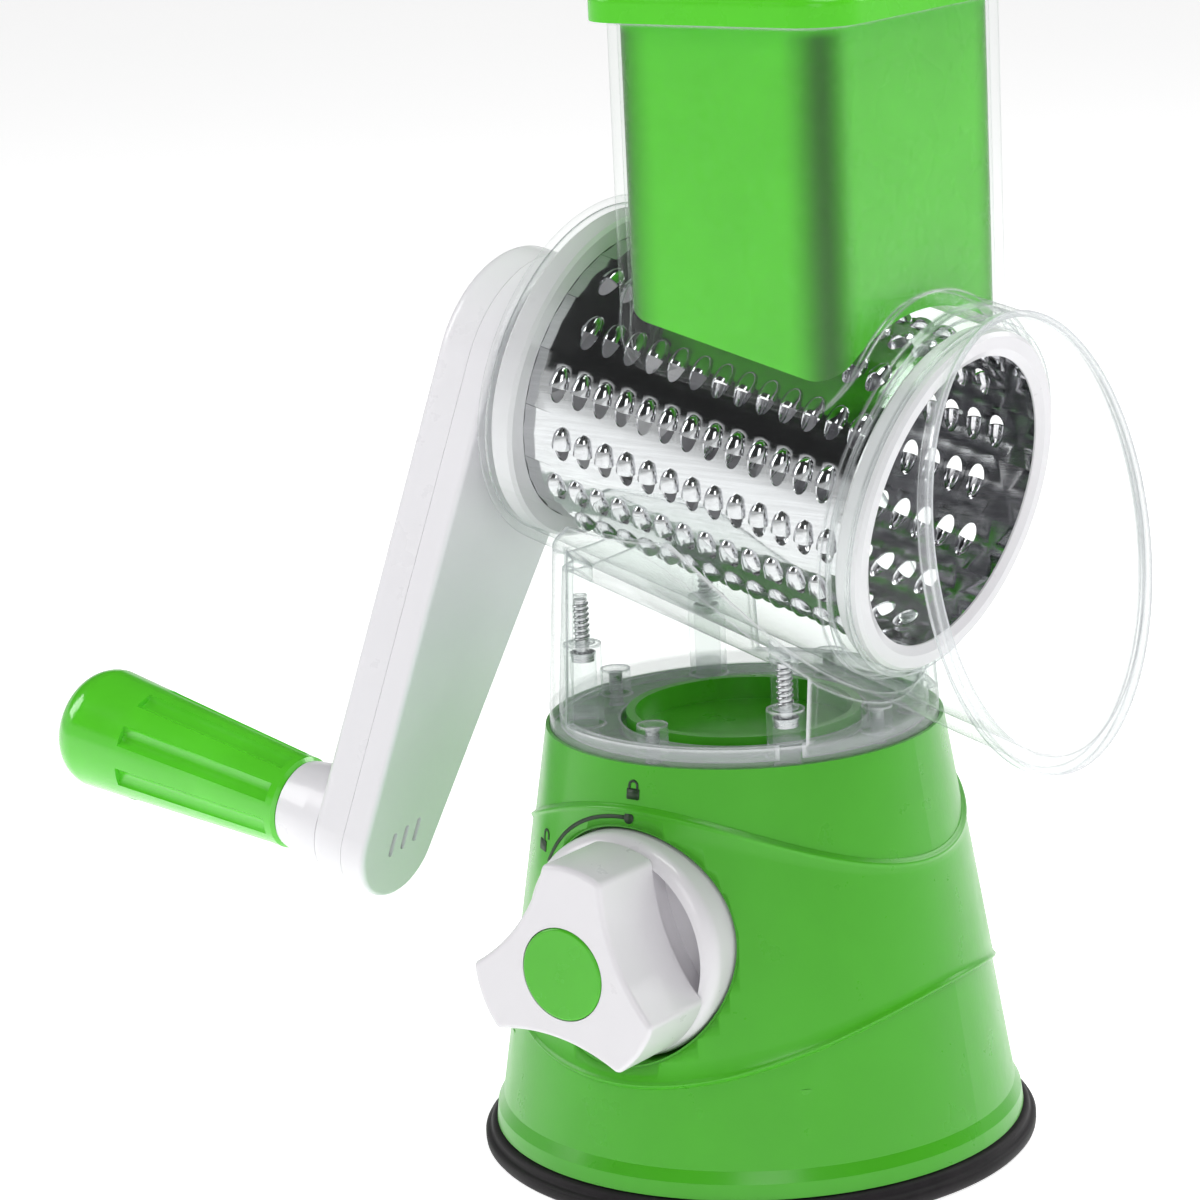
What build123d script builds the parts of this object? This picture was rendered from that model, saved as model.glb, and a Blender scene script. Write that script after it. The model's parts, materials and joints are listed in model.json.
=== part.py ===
from build123d import *
import os
from math import asin, cos, pi, radians, sin, sqrt

# Rotary drum grater on a suction base. Millimetres, +Z up, origin on the table
# at the centre of the base. The drum axis lies in the XZ plane and falls towards
# +X, the outlet. The crank is on the -X side and the suction knob faces -Y.

# ---- driving dimensions -------------------------------------------------------

# base shell
base_bottom_r = 59.7
base_top_r = 44.2
base_bottom_z = 5.6
base_top_z = 97.0
skirt_z = 11.5
skirt_r = 57.9
shell_wall = 2.3
deck_z = 95.0
deck_thickness = 3.5
seat_r = 43.4

# suction pad
pad_r = 62.5
pad_rim_z = 5.3

# drum axis
axis_height = 163.7
axis_tilt = radians(13.3)

# drum
ring_r = 37.7
blade_r = 33.0
blade_thickness = 0.5
drum_rear_u = -37.9
drum_front_u = 58.7
front_ring_u = 52.5
rear_ring_end_u = -32.2

# clear housing
barrel_r = 40.3
barrel_rear_u = -41.1
barrel_wall = 2.0
barrel_rear_round = 4.0
mouth_x = 77.8
mouth_z = 143.7
mouth_half_width = 43.3
mouth_half_height = 48.2
mouth_lean = radians(9.2)
mouth_rim = 2.4

# hopper and pusher
hopper_x = 22.6
hopper_top_z = 254.3
hopper_wall = 2.0
pusher_half_x = 26.7
pusher_half_y = 34.2
pusher_corner = 7.0
pusher_gap = 0.7
pusher_wall = 2.0
flange_thickness = 6.0
flange_overhang = 5.8

# crank, in the plane square to the drum axis: sideways (+Y) and up
hub_spot = (-1.5, -2.5)
hub_r = 24.5
arm_end = (-35.5, -111.0)
arm_end_r = 13.3
arm_inner_u = -47.5
arm_seam_u = -54.2
arm_outer_u = -63.5
arm_wall = 2.2

# handle; its axis leans away from the drum axis, and u runs along it
handle_lean = radians(3.2)
collar_end_u = -76.0
collar_r = 10.4
grip_near_u = -76.4
grip_far_u = -144.1
grip_near_r = 11.0
grip_far_r = 14.5
spindle_r = 3.5

# knob and cam
knob_z = 57.7
knob_r = 25.0
knob_disc_front = 52.5
knob_front = 71.5
pocket_floor = 41.0
pocket_r = 25.6
shaft_r = 4.0
cam_r = 7.0
cam_offset = 2.0
lobe_angle = 81.5

# fits
running_fit = 0.05
body_gap = 0.3

# screws
screw_r = 1.5
screw_hole_r = 1.55

os.makedirs("parts", exist_ok=True)

# ---- planes ---------------------------------------------------------------------

axis_dir = Vector(cos(axis_tilt), 0, -sin(axis_tilt))
drum_axis = Axis((0, 0, axis_height), axis_dir)
drum_plane = Plane(origin=(0, 0, axis_height), x_dir=(0, 1, 0), z_dir=axis_dir)
drum_section = Plane(origin=(0, 0, axis_height), x_dir=axis_dir, z_dir=(0, -1, 0))
mouth_plane = Plane(
    origin=(mouth_x, 0, mouth_z),
    x_dir=(0, 1, 0),
    z_dir=(cos(mouth_lean), 0, sin(mouth_lean)),
)
knob_plane = Plane(origin=(0, 0, knob_z), x_dir=(1, 0, 0), z_dir=(0, -1, 0))
knob_axis = Axis((0, 0, knob_z), (0, -1, 0))
handle_dir = Vector(cos(axis_tilt - handle_lean), 0, -sin(axis_tilt - handle_lean))
handle_foot = drum_plane.from_local_coords(Vector(arm_end[0], arm_end[1], arm_seam_u))
handle_origin = handle_foot - handle_dir * arm_seam_u
handle_section = Plane(origin=handle_origin, x_dir=handle_dir, z_dir=(0, -1, 0))
handle_axis = Axis(handle_origin, handle_dir)


def across(u):
    """Plane square to the drum axis, u along it."""
    return drum_plane.offset(u)


def across_handle(u):
    """Plane square to the handle axis, u along it."""
    return Plane(origin=handle_origin + handle_dir * u, x_dir=(0, 1, 0), z_dir=handle_dir)


def turned(plane, points, axis):
    """Solid of revolution from a closed outline on a plane."""
    with BuildPart() as body:
        with BuildSketch(plane):
            with BuildLine():
                Polyline(*points, close=True)
            make_face()
        revolve(axis=axis)
    return body.part


def pin(plane, r, length):
    """Round bar that starts on a plane."""
    with BuildPart() as body:
        with BuildSketch(plane):
            Circle(r)
        extrude(amount=length)
    return body.part


def screw(plane, shank_r, length, head_r, head_height):
    """Screw whose head sits on the near side of the plane and whose shank goes on."""
    with BuildPart() as body:
        with BuildSketch(plane):
            Circle(shank_r)
        extrude(amount=length)
        with BuildSketch(plane):
            Circle(head_r)
        extrude(amount=-head_height)
        with BuildSketch(plane.offset(-head_height)):
            Rectangle(head_r * 1.2, 0.5)
            Rectangle(0.5, head_r * 1.2)
        extrude(amount=head_height * 0.5, mode=Mode.SUBTRACT)
    return body.part


def barrel_volume(grow):
    """The barrel's outside, a circle at the back running out to the oval mouth."""
    with BuildPart() as body:
        with BuildSketch(across(barrel_rear_u - max(grow, 0))):
            Circle(barrel_r + grow)
        with BuildSketch(mouth_plane):
            Ellipse(mouth_half_width + grow, mouth_half_height + grow)
        loft()
    return body.part


def save(part, name):
    part.label = name
    export_step(part, f"parts/{name}.step")


# ---- base ----------------------------------------------------------------------

ring_wall_r = 26.2
ring_wall = 2.0
ring_wall_z = 99.0
floor_boss_r = 51.0
quarter = 90
deck_underside = deck_z - deck_thickness
stand_screw_r = 35.0
tube_spots = [(-26.0, -24.0), (-26.0, 24.0), (28.0, -25.0), (28.0, 25.0)]
tube_tops = [116.0, 116.0, 108.0, 108.0]

cone_slope = (skirt_r - base_top_r) / (base_top_z - skirt_z)


def cone_r(z):
    """Outside radius of the base shell at a height."""
    return base_top_r + (base_top_z - z) * cone_slope


base_outline = [
    (0, base_bottom_z),
    (base_bottom_r, base_bottom_z),
    (base_bottom_r - 0.4, base_bottom_z + 3.4),
    (skirt_r, skirt_z),
    (base_top_r, base_top_z),
    (0, base_top_z),
]
base_inside = [
    (0, base_bottom_z - 1),
    (base_bottom_r - shell_wall - 0.2, base_bottom_z - 1),
    (base_bottom_r - shell_wall - 0.2, base_bottom_z + 3),
    (skirt_r - shell_wall, skirt_z),
    (cone_r(deck_underside) - shell_wall, deck_underside),
    (0, deck_underside),
]
cone_solid = turned(Plane.XZ, base_outline, Axis.Z)

# the knob sits in a round pocket whose wall ends flush with the cone
with BuildPart() as knob_pocket:
    with BuildSketch(knob_plane.offset(pocket_floor - shell_wall)):
        Circle(pocket_r + shell_wall)
    extrude(amount=30)
    add(cone_solid, mode=Mode.INTERSECT)

with BuildPart() as base_shell:
    add(cone_solid)
    with BuildSketch(Plane.XZ):
        with BuildLine():
            Polyline(*base_inside, close=True)
        make_face()
    revolve(axis=Axis.Z, mode=Mode.SUBTRACT)
    with BuildSketch(Plane.XY.offset(deck_z)):
        Circle(seat_r)
    extrude(amount=10, mode=Mode.SUBTRACT)
    # raised ring round a shallow well in the deck
    with BuildSketch(Plane.XY.offset(deck_z)):
        Circle(ring_wall_r)
        Circle(ring_wall_r - ring_wall, mode=Mode.SUBTRACT)
    extrude(amount=ring_wall_z - deck_z)
    with BuildSketch(Plane.XY.offset(deck_z)):
        Circle(ring_wall_r - ring_wall)
    extrude(amount=-1.0, mode=Mode.SUBTRACT)
    add(knob_pocket.part)
    with BuildSketch(knob_plane.offset(pocket_floor)):
        Circle(pocket_r)
    extrude(amount=30, mode=Mode.SUBTRACT)
    # front bearing of the cam shaft
    with BuildSketch(knob_plane.offset(pocket_floor - shell_wall - 5)):
        Circle(shaft_r + 3)
    extrude(amount=6)
    with BuildSketch(knob_plane.offset(pocket_floor - 12)):
        Circle(shaft_r + running_fit)
    extrude(amount=20, mode=Mode.SUBTRACT)
    # bosses for the floor screws
    with BuildSketch(Plane.XY.offset(base_bottom_z + 2.7)):
        with PolarLocations(floor_boss_r, 4, start_angle=45):
            Circle(4.4)
    extrude(amount=20)
    with BuildSketch(Plane.XY.offset(base_bottom_z)):
        with PolarLocations(floor_boss_r, 4, start_angle=45):
            Circle(screw_hole_r)
    extrude(amount=20, mode=Mode.SUBTRACT)
    # screw holes and driver holes in the deck
    with BuildSketch(Plane.XY.offset(deck_underside - 1)):
        with PolarLocations(stand_screw_r, 4):
            Circle(screw_hole_r + 0.3)
        with Locations(*tube_spots):
            Circle(3.2)
    extrude(amount=deck_thickness + 2, mode=Mode.SUBTRACT)
    # screw holes for the cam bracket
    with BuildSketch(Plane.XY.offset(deck_underside - 1)):
        with GridLocations(28, 20, 2, 2):
            Circle(1.05)
    extrude(amount=3.0, mode=Mode.SUBTRACT)
save(base_shell.part, "base_shell")

# ---- floor, pad and lifting stem --------------------------------------------------

dome_z = 30.0
floor_z = pad_rim_z + 0.1
floor_thickness = 2.8
plate = 2.5
stem_r = 6.0
stem_flange_z = 14.3
stem_flange = 2.5
guide_top_z = 40.0
yoke_bottom_z = 43.0
yoke_top_z = 69.0
yoke_half_width = 13.0
yoke_half_depth = 4.5
cam_play = 0.15

floor_outline = [
    (43.0, floor_z),
    (57.0, floor_z),
    (57.0, floor_z + floor_thickness),
    (45.7, floor_z + floor_thickness),
    (36.4, dome_z + plate),
    (stem_r + 2.6, dome_z + plate),
    (stem_r + 2.6, guide_top_z),
    (stem_r + 0.1, guide_top_z),
    (stem_r + 0.1, dome_z),
    (34.2, dome_z),
]
with BuildPart() as base_floor:
    add(turned(Plane.XZ, floor_outline, Axis.Z))
    with BuildSketch(Plane.XY.offset(floor_z - 1)):
        with PolarLocations(floor_boss_r, 4, start_angle=45):
            Circle(screw_hole_r)
    extrude(amount=6, mode=Mode.SUBTRACT)
    with BuildSketch(Plane.XY.offset(floor_z)):
        with PolarLocations(floor_boss_r, 4, start_angle=45):
            Circle(3.2)
    extrude(amount=1.7, mode=Mode.SUBTRACT)
save(base_floor.part, "base_floor")

with BuildPart() as floor_screws:
    for k in range(4):
        a = radians(45 + quarter * k)
        spot = Plane.XY.offset(floor_z + 1.7)
        spot = spot.move(Location((floor_boss_r * cos(a), floor_boss_r * sin(a), 0)))
        add(screw(spot, screw_r, 16, 2.9, 1.6))
save(floor_screws.part, "floor_screws")

pad_outline = [
    (0, 0),
    (61.3, 0),
    (pad_r, 1.2),
    (pad_r, 3.0),
    (61.0, pad_rim_z),
    (54.5, pad_rim_z),
    (53.0, 2.6),
    (12.0, 2.6),
    (9.5, 5.0),
    (9.5, 14.0),
    (2.7, 14.0),
    (2.7, 7.2),
    (7.2, 7.2),
    (7.2, 4.8),
    (0, 4.8),
]
save(turned(Plane.XZ, pad_outline, Axis.Z), "suction_pad")

with BuildPart() as pad_stud:
    add(pin(Plane.XY.offset(5.0), 7.0, 2.0))
    add(pin(Plane.XY.offset(7.0), 2.5, 16.0))
save(pad_stud.part, "pad_stud")

with BuildPart() as lift_stem:
    add(pin(Plane.XY.offset(stem_flange_z), 16.0, stem_flange))
    add(pin(Plane.XY.offset(stem_flange_z), stem_r, yoke_bottom_z - stem_flange_z))
    with BuildSketch(Plane.XY.offset(yoke_bottom_z)):
        RectangleRounded(2 * yoke_half_width, 2 * yoke_half_depth, 1.5)
    extrude(amount=yoke_top_z - yoke_bottom_z)
    with BuildSketch(knob_plane.offset(-10)):
        with Locations((0, -cam_offset)):
            RectangleRounded(20.6, 2 * (cam_r + cam_play), 1.0)
    extrude(amount=20, mode=Mode.SUBTRACT)
    with BuildSketch(Plane.XY.offset(stem_flange_z)):
        Circle(2.55)
    extrude(amount=10, mode=Mode.SUBTRACT)
save(lift_stem.part, "lift_stem")

# return spring: a round wire wound between the stem's flange and the dome
spring_low = stem_flange_z + stem_flange + 0.1
spring_high = dome_z - 0.1
wire_r = 0.7
spring_mean_r = 12.0
coils = 3.5
pitch = (spring_high - spring_low - 2 * wire_r) / coils
with BuildPart() as return_spring:
    with BuildLine():
        winding = Helix(pitch, pitch * coils, spring_mean_r, center=(0, 0, spring_low + wire_r))
    with BuildSketch(Plane(origin=winding @ 0, z_dir=winding % 0)):
        Circle(wire_r)
    sweep(is_frenet=True)
save(return_spring.part, "return_spring")

# ---- cam bracket, cam shaft and knob ---------------------------------------------

ear_near = 9.0
ear_far = 13.0
bracket_plate = 3.0
with BuildPart() as cam_bracket:
    with BuildSketch(Plane.XY.offset(deck_underside)):
        RectangleRounded(36, 28, 3)
    extrude(amount=-bracket_plate)
    for y in (ear_near, -ear_far):
        with BuildSketch(Plane.XZ.offset(-y - (ear_far - ear_near))):
            with Locations((0, (deck_underside - bracket_plate + knob_z) / 2)):
                Rectangle(18, deck_underside - bracket_plate - knob_z)
            with Locations((0, knob_z)):
                Circle(9)
            with Locations((0, knob_z)):
                Circle(shaft_r + running_fit, mode=Mode.SUBTRACT)
        extrude(amount=ear_far - ear_near)
    with BuildSketch(Plane.XY.offset(deck_underside)):
        with GridLocations(28, 20, 2, 2):
            Circle(1.2)
    extrude(amount=-bracket_plate, mode=Mode.SUBTRACT)
save(cam_bracket.part, "cam_bracket")

with BuildPart() as bracket_screws:
    for x in (-14, 14):
        for y in (-10, 10):
            spot = Plane.XY.offset(deck_underside - bracket_plate)
            add(screw(spot.move(Location((x, y, 0))), 1.0, 4.8, 2.1, 1.4))
save(bracket_screws.part, "bracket_screws")

square_end = 5.6
shaft_knob_end = 59.7
shaft_back_end = -16.0
clip_at = -14.2
with BuildPart() as cam_shaft:
    add(pin(knob_plane.offset(shaft_back_end), shaft_r, pocket_floor - shaft_back_end))
    with BuildSketch(knob_plane.offset(pocket_floor)):
        Rectangle(square_end, square_end)
    extrude(amount=shaft_knob_end - pocket_floor)
    with BuildSketch(knob_plane.offset(-5.2)):
        with Locations((-cam_offset, -cam_offset)):
            Circle(cam_r)
    extrude(amount=10.4)
    with BuildSketch(knob_plane.offset(clip_at)):
        Circle(shaft_r + 1)
        Circle(shaft_r - 0.6, mode=Mode.SUBTRACT)
    extrude(amount=0.9, mode=Mode.SUBTRACT)
    with BuildSketch(knob_plane.offset(shaft_knob_end)):
        Circle(1.35)
    extrude(amount=-12, mode=Mode.SUBTRACT)
save(cam_shaft.part, "cam_shaft")

with BuildPart() as shaft_clip:
    with BuildSketch(knob_plane.offset(clip_at + 0.05)):
        Circle(6.0)
        Circle(shaft_r - 0.5, mode=Mode.SUBTRACT)
        with Locations((0, 4.5)):
            Rectangle(4, 6, mode=Mode.SUBTRACT)
    extrude(amount=0.8)
save(shaft_clip.part, "shaft_clip")

disc_shoulder = 4.2
finger_pocket_r = 22.2
finger_pocket_depth = 6.0
pocket_undercut = 1.6
scoop_r = 43.6
scoop_reach = 58.6
lobe_r = 24.0
cap_r = 10.2
cap_recess = 2.2
knob_head_seat = 64.0
scoop_spots = [
    (
        scoop_reach * cos(radians(lobe_angle - 60 + 120 * k)),
        scoop_reach * sin(radians(lobe_angle - 60 + 120 * k)),
    )
    for k in range(3)
]
with BuildPart() as knob:
    with BuildSketch(knob_plane.offset(pocket_floor + 0.4)):
        Circle(knob_r)
    extrude(amount=knob_disc_front - pocket_floor - 0.4)
    fillet(knob.edges().group_by(Axis.Y)[0], disc_shoulder)
    with BuildSketch(knob_plane.offset(knob_disc_front)) as lobes:
        Circle(lobe_r)
        with Locations(*scoop_spots):
            Circle(scoop_r, mode=Mode.SUBTRACT)
        fillet(lobes.vertices(), 1.6)
    extrude(amount=knob_front - knob_disc_front)
    fillet(knob.edges().group_by(Axis.Y)[0], 1.2)
    # lens-shaped finger pockets sunk into the disc, undercutting the lobes' sides
    with BuildSketch(knob_plane.offset(knob_disc_front)):
        with Locations(*scoop_spots):
            Circle(scoop_r + pocket_undercut)
        Circle(finger_pocket_r, mode=Mode.INTERSECT)
    extrude(amount=-finger_pocket_depth, mode=Mode.SUBTRACT)
    with BuildSketch(knob_plane.offset(knob_front)):
        Circle(cap_r + 0.15)
    extrude(amount=-cap_recess, mode=Mode.SUBTRACT)
    with BuildSketch(knob_plane.offset(knob_front)):
        Circle(4.6)
    extrude(amount=-(knob_front - knob_head_seat), mode=Mode.SUBTRACT)
    with BuildSketch(knob_plane.offset(knob_front)):
        Circle(screw_hole_r)
    extrude(amount=-16, mode=Mode.SUBTRACT)
    with BuildSketch(knob_plane.offset(pocket_floor)):
        Rectangle(square_end + 0.1, square_end + 0.1)
    extrude(amount=shaft_knob_end - pocket_floor + 0.2, mode=Mode.SUBTRACT)
save(knob.part, "knob")

with BuildPart() as knob_cap:
    with BuildSketch(knob_plane.offset(knob_front - cap_recess)):
        Circle(cap_r)
    extrude(amount=cap_recess + 0.3)
    fillet(knob_cap.edges().group_by(Axis.Y)[0], 0.6)
save(knob_cap.part, "knob_cap")

screw_plane = Plane(origin=(0, -knob_head_seat, knob_z), x_dir=(1, 0, 0), z_dir=(0, 1, 0))
save(screw(screw_plane, 1.3, 14.0, 3.6, 2.0), "knob_screw")

# ---- clear stand -----------------------------------------------------------------

stand_r = 43.2
stand_rim_z = 101.0
stand_floor_z = 97.5
stand_top_r = 40.2
stand_top_z = 145.0
stand_wall = 2.2
cradle = 3.0
tube_r = 4.2
upper_boss_r = 2.9
ledge = 2.0
window_low_x = -21.0
window_high_x = 34.0
joint_gap = 0.2

stand_outline = [
    (stand_r, deck_z),
    (stand_r, stand_rim_z),
    (stand_top_r, stand_top_z),
    (stand_top_r - stand_wall, stand_top_z),
    (stand_r - stand_wall, stand_rim_z),
    (stand_r - stand_wall, stand_floor_z),
    (ring_wall_r + 1.3, stand_floor_z),
    (ring_wall_r + 1.3, deck_z),
]
stand_solid = turned(
    Plane.XZ,
    [(0, stand_rim_z), (stand_r, stand_rim_z), (stand_top_r, stand_top_z), (0, stand_top_z)],
    Axis.Z,
)
with BuildPart() as saddle:
    add(barrel_volume(cradle + joint_gap))
    add(stand_solid, mode=Mode.INTERSECT)

with BuildPart() as clear_stand:
    add(turned(Plane.XZ, stand_outline, Axis.Z))
    with BuildSketch(Plane.XY.offset(stand_rim_z)):
        with Locations(((window_low_x + window_high_x) / 2, 0)):
            Rectangle(window_high_x - window_low_x, 100)
    extrude(amount=50, mode=Mode.SUBTRACT)
    add(saddle.part)
    for spot, top in zip(tube_spots, tube_tops):
        with BuildSketch(Plane.XY.offset(deck_z)):
            with Locations(spot):
                Circle(tube_r)
        extrude(amount=top - deck_z)
        with BuildSketch(Plane.XY.offset(top)):
            with Locations(spot):
                Circle(upper_boss_r + joint_gap)
        extrude(amount=40, mode=Mode.SUBTRACT)
        with BuildSketch(Plane.XY.offset(deck_z)):
            with Locations(spot):
                Circle(tube_r - 1.3)
        extrude(amount=top - deck_z - ledge, mode=Mode.SUBTRACT)
        with BuildSketch(Plane.XY.offset(top - ledge)):
            with Locations(spot):
                Circle(screw_hole_r)
        extrude(amount=ledge, mode=Mode.SUBTRACT)
    with BuildSketch(Plane.XY.offset(deck_z)):
        with PolarLocations(stand_screw_r, 4):
            Circle(3.4)
    extrude(amount=8.5)
    with BuildSketch(Plane.XY.offset(deck_z)):
        with PolarLocations(stand_screw_r, 4):
            Circle(screw_hole_r)
    extrude(amount=7.5, mode=Mode.SUBTRACT)
    add(barrel_volume(joint_gap), mode=Mode.SUBTRACT)
save(clear_stand.part, "clear_stand")

with BuildPart() as stand_screws:
    for k in range(4):
        a = radians(quarter * k)
        spot = Plane.XY.offset(deck_underside)
        spot = spot.move(Location((stand_screw_r * cos(a), stand_screw_r * sin(a), 0)))
        add(screw(spot, screw_r, 10.5, 2.9, 1.8))
save(stand_screws.part, "stand_screws")

with BuildPart() as housing_screws:
    for (x, y), top in zip(tube_spots, tube_tops):
        spot = Plane.XY.offset(top - ledge).move(Location((x, y, 0)))
        add(screw(spot, screw_r, 12, 2.6, 2.0))
save(housing_screws.part, "housing_screws")

# ---- clear housing: barrel, hopper and outlet hood in one moulding -----------------

hopper_half_x = pusher_half_x + pusher_gap
hopper_half_y = pusher_half_y + pusher_gap
hopper_corner = pusher_corner + pusher_gap
hopper_foot_z = 166.0
bush_r = 12.0
collar_low_u = 51.0
collar_high_u = 57.0
collar_bore = 38.1

with BuildPart() as barrel_inside:
    with BuildSketch(across(barrel_rear_u + barrel_wall + 0.5)):
        Circle(barrel_r - barrel_wall)
    with BuildSketch(mouth_plane.offset(3)):
        Ellipse(mouth_half_width - barrel_wall + 0.2, mouth_half_height - barrel_wall + 0.2)
    loft()

# bearing collar that carries the drum's front ring
with BuildPart() as front_collar:
    with BuildSketch(across(collar_low_u)):
        Circle(46)
        Circle(collar_bore, mode=Mode.SUBTRACT)
    extrude(amount=1.8)
    with BuildSketch(across(collar_low_u)):
        Circle(collar_bore + 1.4)
        Circle(collar_bore, mode=Mode.SUBTRACT)
    extrude(amount=collar_high_u - collar_low_u)
    add(barrel_volume(-barrel_wall / 2), mode=Mode.INTERSECT)

with BuildPart() as clear_housing:
    add(barrel_volume(0))
    fillet(clear_housing.faces().sort_by(drum_axis)[0].edges(), barrel_rear_round)
    with BuildSketch(Plane.XY.offset(hopper_foot_z)):
        with Locations((hopper_x, 0)):
            RectangleRounded(
                2 * (hopper_half_x + hopper_wall),
                2 * (hopper_half_y + hopper_wall),
                hopper_corner + hopper_wall,
            )
    extrude(amount=hopper_top_z - hopper_foot_z)
    with BuildSketch(mouth_plane):
        Ellipse(mouth_half_width + 0.7, mouth_half_height + 0.7)
    extrude(amount=-mouth_rim)
    for spot, top in zip(tube_spots, tube_tops):
        with BuildSketch(Plane.XY.offset(top)):
            with Locations(spot):
                Circle(upper_boss_r)
        extrude(amount=30)
    add(barrel_inside.part, mode=Mode.SUBTRACT)
    add(front_collar.part)
    with BuildSketch(Plane.XY.offset(hopper_foot_z)):
        with Locations((hopper_x, 0)):
            RectangleRounded(2 * hopper_half_x, 2 * hopper_half_y, hopper_corner)
    extrude(amount=hopper_top_z - hopper_foot_z, mode=Mode.SUBTRACT)
    for spot, top in zip(tube_spots, tube_tops):
        with BuildSketch(Plane.XY.offset(top)):
            with Locations(spot):
                Circle(screw_hole_r)
        extrude(amount=11, mode=Mode.SUBTRACT)
    with BuildSketch(across(barrel_rear_u)):
        Circle(bush_r)
    extrude(amount=barrel_wall + 1, mode=Mode.SUBTRACT)
save(clear_housing.part, "clear_housing")

# ---- crank -----------------------------------------------------------------------

journal_r = 9.0
journal_end_u = -38.4
flange_outer_u = -56.6
flange_depth = 3.0
hex_across = 11.4
hex_end_u = -18.0
bush_flange_r = 14.5
crank_flange_r = 15.0
crank_screw_reach = 12.0

bush_outline = [
    (-42.8, journal_r + running_fit),
    (-42.8, bush_flange_r),
    (barrel_rear_u - 0.1, bush_flange_r),
    (barrel_rear_u - 0.1, bush_r - 0.1),
    (journal_end_u, bush_r - 0.1),
    (journal_end_u, journal_r + running_fit),
]
save(turned(drum_section, bush_outline, drum_axis), "crank_bush")

with BuildPart() as crank_shaft:
    with BuildSketch(across(flange_outer_u)):
        Circle(crank_flange_r)
        with Locations((crank_screw_reach, 0), (-crank_screw_reach, 0)):
            Circle(screw_hole_r, mode=Mode.SUBTRACT)
    extrude(amount=flange_depth)
    add(pin(across(flange_outer_u), journal_r, journal_end_u - flange_outer_u))
    with BuildSketch(across(journal_end_u)):
        RegularPolygon(hex_across / 2, 6, major_radius=False)
    extrude(amount=hex_end_u - journal_end_u)
save(crank_shaft.part, "crank_shaft")


def arm_slab(from_u, to_u, inset):
    """Slice of the crank arm: the hull of the hub and end circles, less an inset."""
    with BuildPart() as slab:
        with BuildSketch(across(from_u)):
            with BuildLine():
                CenterArc(hub_spot, hub_r - inset, 0, 360)
                CenterArc(arm_end, arm_end_r - inset, 0, 360)
            make_hull()
        extrude(amount=to_u - from_u)
    return slab.part


spindle_seat_u = arm_outer_u + arm_wall + 0.45
with BuildPart() as crank_arm:
    add(arm_slab(arm_outer_u, arm_seam_u, 0))
    fillet(crank_arm.faces().sort_by(drum_axis)[0].edges(), 3.0)
    with BuildSketch(handle_section):
        with BuildLine():
            Polyline(
                (arm_outer_u + 1, 0),
                (arm_outer_u + 1, arm_end_r - 0.6),
                (arm_outer_u - 4, arm_end_r - 1.2),
                (collar_end_u, collar_r),
                (collar_end_u, 0),
                close=True,
            )
        make_face()
    revolve(axis=handle_axis)
    add(arm_slab(arm_outer_u + arm_wall, arm_seam_u, arm_wall), mode=Mode.SUBTRACT)
    # seat for the spindle head, square to the handle
    with BuildSketch(across_handle(spindle_seat_u)):
        Circle(7.5)
    extrude(amount=-1.5)
    with BuildSketch(across(arm_outer_u + 1)):
        with Locations((crank_screw_reach, 0), (-crank_screw_reach, 0)):
            Circle(3.0)
    extrude(amount=flange_outer_u - 0.1 - arm_outer_u - 1)
    with BuildSketch(across(flange_outer_u)):
        with Locations((crank_screw_reach, 0), (-crank_screw_reach, 0)):
            Circle(1.3)
    extrude(amount=-3.4, mode=Mode.SUBTRACT)
    with BuildSketch(across_handle(arm_outer_u + 10)):
        Circle(spindle_r + 0.05)
    extrude(amount=-40, mode=Mode.SUBTRACT)
save(crank_arm.part, "crank_arm")

slot_length = 5.8
with BuildPart() as crank_cover:
    add(arm_slab(arm_seam_u + 0.1, arm_inner_u, 0))
    fillet(crank_cover.faces().sort_by(drum_axis)[-1].edges(), 1.2)
    add(arm_slab(arm_seam_u, arm_inner_u - arm_wall, arm_wall), mode=Mode.SUBTRACT)
    with BuildSketch(across(arm_inner_u - arm_wall)):
        Circle(crank_flange_r + 1)
    extrude(amount=flange_outer_u + flange_depth + 0.2 - arm_inner_u + arm_wall)
    with BuildSketch(across(arm_inner_u - 10)):
        Circle(journal_r + 0.1)
        with Locations((crank_screw_reach, 0), (-crank_screw_reach, 0)):
            Circle(screw_hole_r)
    extrude(amount=12, mode=Mode.SUBTRACT)
    with BuildSketch(across(arm_inner_u - 1.7)):
        with Locations((crank_screw_reach, 0), (-crank_screw_reach, 0)):
            Circle(2.8)
    extrude(amount=2, mode=Mode.SUBTRACT)
    # three slanted drain slots near the lower end
    with BuildSketch(across(arm_inner_u - 4)):
        for k in (-1, 0, 1):
            with Locations((arm_end[0] + 1.4 + 4.2 * k, arm_end[1] + 1 + 0.8 * k)):
                SlotOverall(slot_length, 1.4, rotation=78)
    extrude(amount=5, mode=Mode.SUBTRACT)
save(crank_cover.part, "crank_cover")

with BuildPart() as crank_screws:
    for x in (-crank_screw_reach, crank_screw_reach):
        head_plane = Plane(
            origin=drum_plane.from_local_coords(Vector(x, 0, arm_inner_u - 1.7)),
            x_dir=(0, 1, 0),
            z_dir=axis_dir * -1,
        )
        add(screw(head_plane, 1.25, 10.2, 2.6, 1.5))
save(crank_screws.part, "crank_screws")

# ---- handle ----------------------------------------------------------------------

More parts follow.
